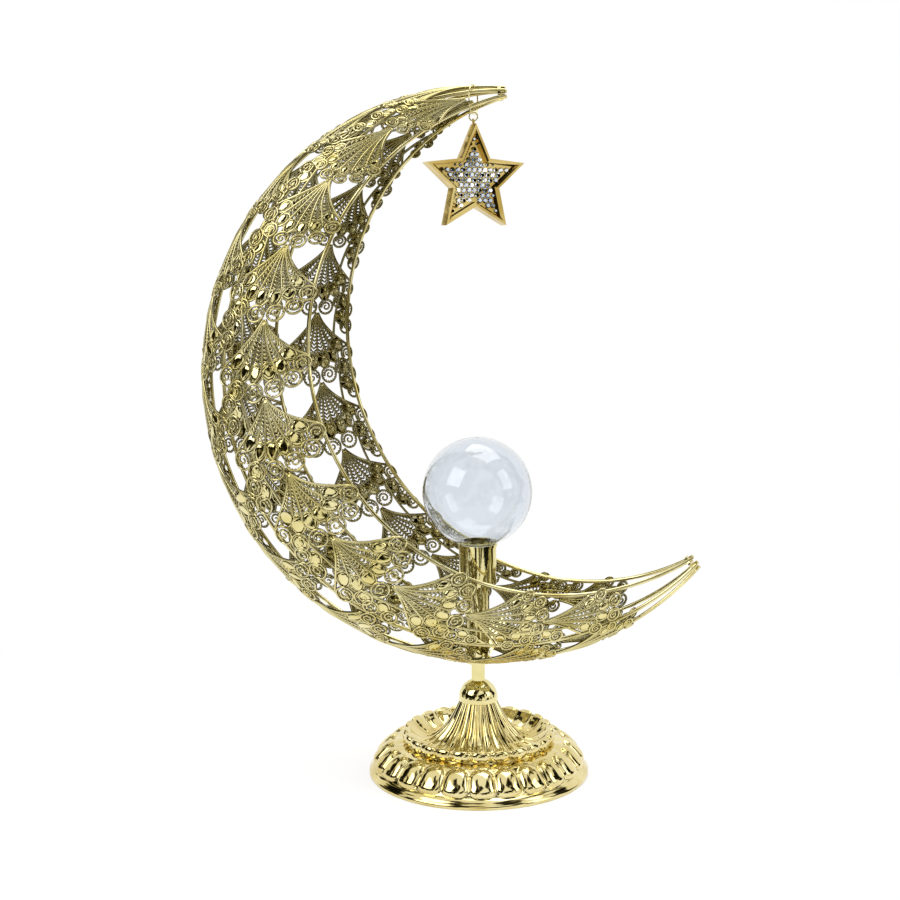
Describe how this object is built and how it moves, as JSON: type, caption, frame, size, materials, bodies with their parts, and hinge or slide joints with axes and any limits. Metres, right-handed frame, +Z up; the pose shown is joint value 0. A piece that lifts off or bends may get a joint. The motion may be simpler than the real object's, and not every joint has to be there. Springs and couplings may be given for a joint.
{
  "type": "crescent moon table ornament",
  "caption": "Openwork crescent moon ornament on a round stem base, with an empty glass globe in a cup and a rhinestone star hanging from the upper horn.",
  "frame": {"origin": "centre of the base's underside, on the floor under the stem", "axes": "+Z up along the stem, +X towards the open side of the crescent, -Y towards the front of the ornament"},
  "size_m": [0.3687, 0.1628, 0.499],
  "materials": {
    "gold_wire": "polished plating",
    "gold_filigree": "polished plating on stamped sheet",
    "gold_polished": "polished plating",
    "gold_base": "polished gold plating on a light casting",
    "gold_star": "polished plating",
    "rhinestone": "cut clear stones",
    "clear_glass": "clear thin wall",
    "plain_steel": "plain",
    "dark_felt": "felt"
  },
  "bodies": {
    "stand": {"rim_wire_front": "gold_wire", "rim_wire_back": "gold_wire", "side_wire_front": "gold_wire", "side_wire_back": "gold_wire", "outer_wire": "gold_wire", "tip_plate_upper": "gold_wire", "tip_plate_lower": "gold_wire", "star_hook": "gold_wire", "side_fan_front_01": "gold_filigree", "side_fan_front_02": "gold_filigree", "side_fan_front_03": "gold_filigree", "side_fan_front_04": "gold_filigree", "side_fan_front_05": "gold_filigree", "side_fan_front_06": "gold_filigree", "side_fan_front_07": "gold_filigree", "side_fan_front_08": "gold_filigree", "side_fan_front_09": "gold_filigree", "side_fan_front_10": "gold_filigree", "side_fan_front_11": "gold_filigree", "side_fan_back_01": "gold_filigree", "side_fan_back_02": "gold_filigree", "side_fan_back_03": "gold_filigree", "side_fan_back_04": "gold_filigree", "side_fan_back_05": "gold_filigree", "side_fan_back_06": "gold_filigree", "side_fan_back_07": "gold_filigree", "side_fan_back_08": "gold_filigree", "side_fan_back_09": "gold_filigree", "side_fan_back_10": "gold_filigree", "side_fan_back_11": "gold_filigree", "outer_fans_01": "gold_filigree", "outer_fans_02": "gold_filigree", "outer_fans_03": "gold_filigree", "outer_fans_04": "gold_filigree", "outer_fans_05": "gold_filigree", "outer_fans_06": "gold_filigree", "outer_fans_07": "gold_filigree", "outer_fans_08": "gold_filigree", "outer_fans_09": "gold_filigree", "outer_fans_10": "gold_filigree", "outer_fans_11": "gold_filigree", "outer_fans_12": "gold_filigree", "base_shell": "gold_base", "base_trumpet": "gold_base", "neck_ball": "gold_polished", "stem_tube": "gold_polished", "crescent_hub": "gold_polished", "saddle_strap": "gold_polished", "cup_sleeve": "gold_polished", "globe_cup": "gold_polished", "base_nut": "plain_steel", "base_washer": "plain_steel", "cup_nut": "plain_steel", "base_felt": "dark_felt"},
    "globe": {"glass_globe": "clear_glass"},
    "ring": {"jump_ring": "gold_wire"},
    "star": {"star_frame": "gold_star", "star_panel": "gold_star", "star_stones": "rhinestone"}
  },
  "joints": [
    {"name": "globe_lift", "type": "slide", "parent": "stand", "child": "globe", "axis": [0, 0, 1], "range_m": [0, 0.06]},
    {"name": "ring_swing", "type": "hinge", "parent": "stand", "child": "ring", "pos_m": [-0.0015, 0, 0.47853], "axis": [1, 0, 0], "range_deg": [-25, 25]},
    {"name": "star_swing", "type": "hinge", "parent": "ring", "child": "star", "pos_m": [-0.0015, 0, 0.47393], "axis": [0, 1, 0], "range_deg": [-10, 10]}
  ]
}
